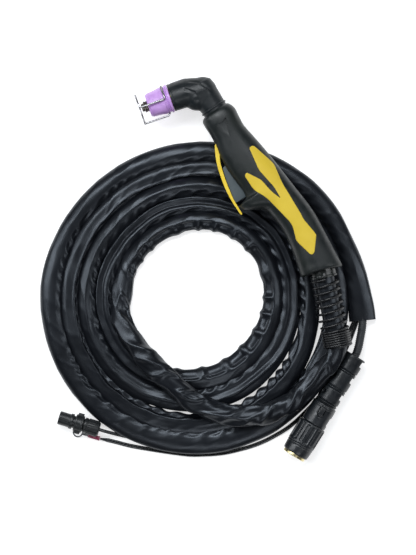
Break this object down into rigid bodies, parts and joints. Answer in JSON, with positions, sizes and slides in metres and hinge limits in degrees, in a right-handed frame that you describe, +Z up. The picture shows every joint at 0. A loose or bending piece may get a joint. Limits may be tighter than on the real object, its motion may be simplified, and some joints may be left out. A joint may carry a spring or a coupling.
{
  "type": "plasma cutting torch",
  "caption": "Hand plasma cutting torch with bent head, ceramic shield cup, two-shell handle, lever trigger, coiled sleeved lead, central connector and control plug.",
  "frame": {"origin": "the centre of the nozzle's front face, where the arc leaves it", "axes": "+X along the handle towards the head, +Y the trigger side, +Z up as the torch lies on its coiled lead"},
  "size_m": [0.4194, 0.37, 0.0555],
  "materials": {
    "head_plastic": "satin black moulded phenolic",
    "brass": "machined brass",
    "seal_rubber": "black nitrile",
    "copper": "turned copper",
    "nozzle_copper": "used copper, dulled by heat",
    "swirl_ceramic": "unglazed ceramic",
    "lilac_ceramic": "lilac alumina, fine matte glaze",
    "bright_wire": "bright drawn spring wire",
    "handle_plastic": "fine-textured dark slate nylon",
    "yellow_grip": "soft-touch yellow elastomer",
    "yellow_lever": "satin yellow nylon",
    "grey_plastic": "matte blue-grey nylon",
    "screw_steel": "zinc-plated steel",
    "spring_steel": "bright spring steel",
    "switch_plastic": "black phenolic",
    "plunger_plastic": "red acetal",
    "hose_rubber": "black ribbed rubber jacket",
    "bush_plastic": "polished black nylon",
    "black_steel": "black oxide spring wire, oiled",
    "sleeve_fabric": "black semi-gloss coated sleeve, creased",
    "boot_rubber": "satin black rubber",
    "connector_plastic": "satin black glass-filled nylon",
    "pale_brass": "pale nickel-brass",
    "wire_pvc": "glossy black insulation",
    "tinned_copper": "tinned copper",
    "red_nylon": "translucent red nylon barrel",
    "plug_plastic": "satin black nylon"
  },
  "bodies": {
    "torch": {"head_moulding": "head_plastic", "torch_body": "brass", "gas_tube": "brass", "hose_fitting": "brass", "o_ring": "seal_rubber", "electrode": "copper", "swirl_ring": "swirl_ceramic", "nozzle": "nozzle_copper", "handle_shell_left": "handle_plastic", "handle_shell_right": "handle_plastic", "insert_left": "yellow_grip", "insert_right": "yellow_grip", "shell_screws": "screw_steel", "trigger_pin": "spring_steel", "switch_body": "switch_plastic", "torch_hose": "hose_rubber", "rear_bush": "bush_plastic", "bush_screw": "screw_steel", "strain_relief_spring": "black_steel", "sleeve_in_spring": "sleeve_fabric", "lead_coil": "sleeve_fabric", "lead_tail": "sleeve_fabric", "lead_outlet": "sleeve_fabric", "bare_lead": "hose_rubber", "connector_boot": "boot_rubber", "connector_housing": "connector_plastic", "connector_insulator": "switch_plastic", "connector_nose": "pale_brass", "centre_contact": "brass", "pilot_wire": "wire_pvc", "terminal_ring": "tinned_copper", "terminal_barrel": "red_nylon", "control_cable": "wire_pvc", "plug_back_shell": "plug_plastic", "plug_body": "plug_plastic", "plug_contacts": "brass"},
    "trigger": {"trigger_lever": "yellow_lever", "trigger_blade": "grey_plastic", "trigger_spring": "spring_steel"},
    "switch_plunger": {"switch_plunger": "plunger_plastic"},
    "shield_cup": {"shield_cup": "lilac_ceramic"},
    "standoff_guide": {"standoff_guide": "bright_wire"},
    "coupling_nut": {"coupling_nut": "connector_plastic"},
    "latch_button": {"latch_button": "connector_plastic"},
    "plug_lock_ring": {"plug_lock_ring": "plug_plastic"}
  },
  "joints": [
    {"name": "trigger", "type": "hinge", "parent": "torch", "child": "trigger", "pos_m": [-0.07723, -0.04757, 0], "axis": [0, 0, 1], "range_deg": [0, 5], "stiffness_Nm_per_rad": 0.6, "springref_deg": -6.88},
    {"name": "switch_plunger", "type": "slide", "parent": "torch", "child": "switch_plunger", "axis": [0, -1, 0], "range_m": [0, 0.00305]},
    {"name": "shield_cup", "type": "hinge", "parent": "torch", "child": "shield_cup", "pos_m": [-0.00605, -0.02426, 0], "axis": [0.2419, 0.9703, 0], "continuous": true},
    {"name": "standoff_guide", "type": "hinge", "parent": "shield_cup", "child": "standoff_guide", "pos_m": [-0.00629, -0.02523, 0], "axis": [0.2419, 0.9703, 0], "continuous": true},
    {"name": "coupling_nut", "type": "hinge", "parent": "torch", "child": "coupling_nut", "pos_m": [-0.37776, 0.036, -0.021], "axis": [-0.4226, 0.9063, 0], "continuous": true},
    {"name": "latch_button", "type": "slide", "parent": "torch", "child": "latch_button", "axis": [0, 0, -1], "range_m": [0, 0.0012], "stiffness_N_per_m": 800, "springref_m": -0.002},
    {"name": "plug_lock_ring", "type": "hinge", "parent": "torch", "child": "plug_lock_ring", "pos_m": [-0.24037, 0.23707, -0.0265], "axis": [0.766, 0.6428, 0], "range_deg": [0, 45]}
  ],
  "couplings": [
    {"joint": "switch_plunger", "follows": "trigger", "m_per_rad": 0.0345}
  ]
}
